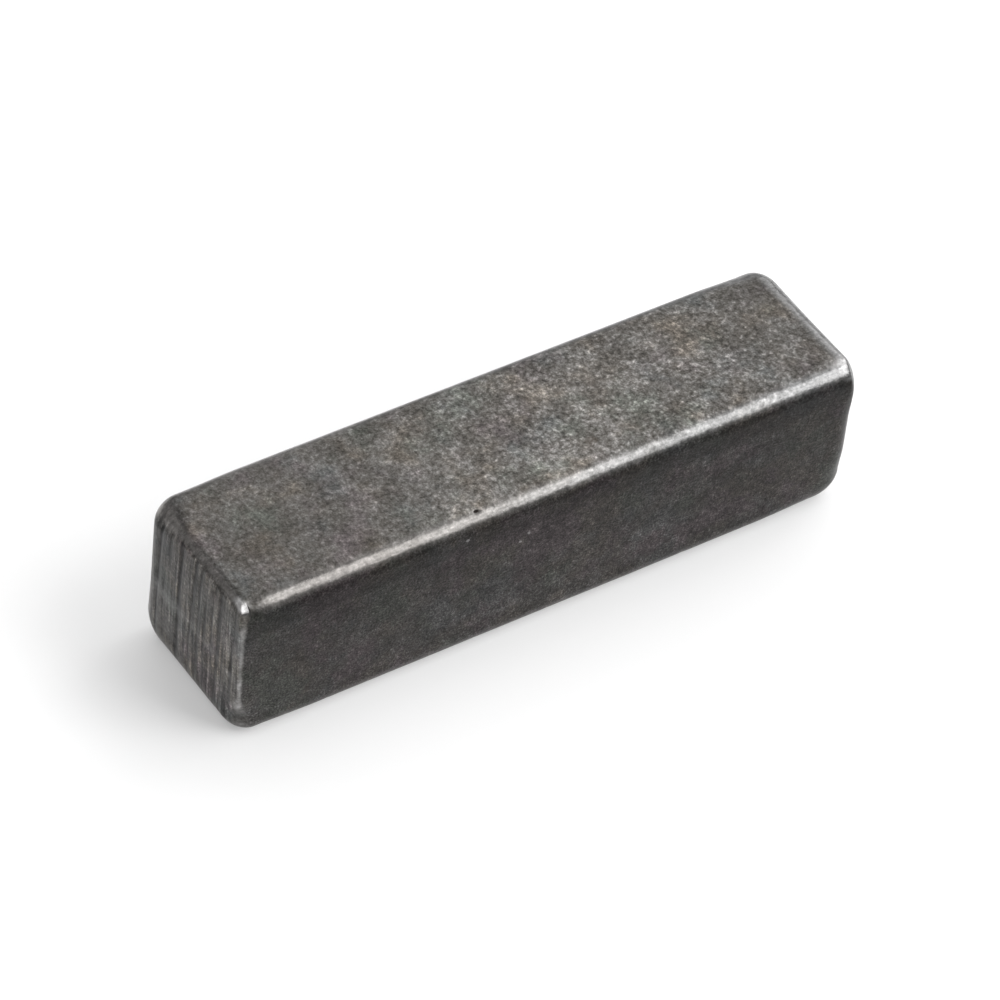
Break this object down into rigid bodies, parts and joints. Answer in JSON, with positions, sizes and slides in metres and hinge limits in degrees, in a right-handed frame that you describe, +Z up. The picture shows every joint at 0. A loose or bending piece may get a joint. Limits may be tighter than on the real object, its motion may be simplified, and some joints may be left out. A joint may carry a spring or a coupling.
{
  "type": "parallel key",
  "caption": "Square-ended parallel key: a short bar of plain square steel with rounded edges that locks a hub to its shaft.",
  "frame": {"origin": "middle of the bottom face, which beds in the shaft's keyseat", "axes": "+X along the key, +Y square to its driving flanks, +Z up from the seat face to the hub face"},
  "size_m": [0.02, 0.005, 0.005],
  "materials": {
    "bright_steel": "barrel-finished cold-drawn carbon steel, dull dark grey and finely mottled, with a worn shine along the edges"
  },
  "bodies": {
    "root": {"key": "bright_steel"}
  },
  "joints": []
}
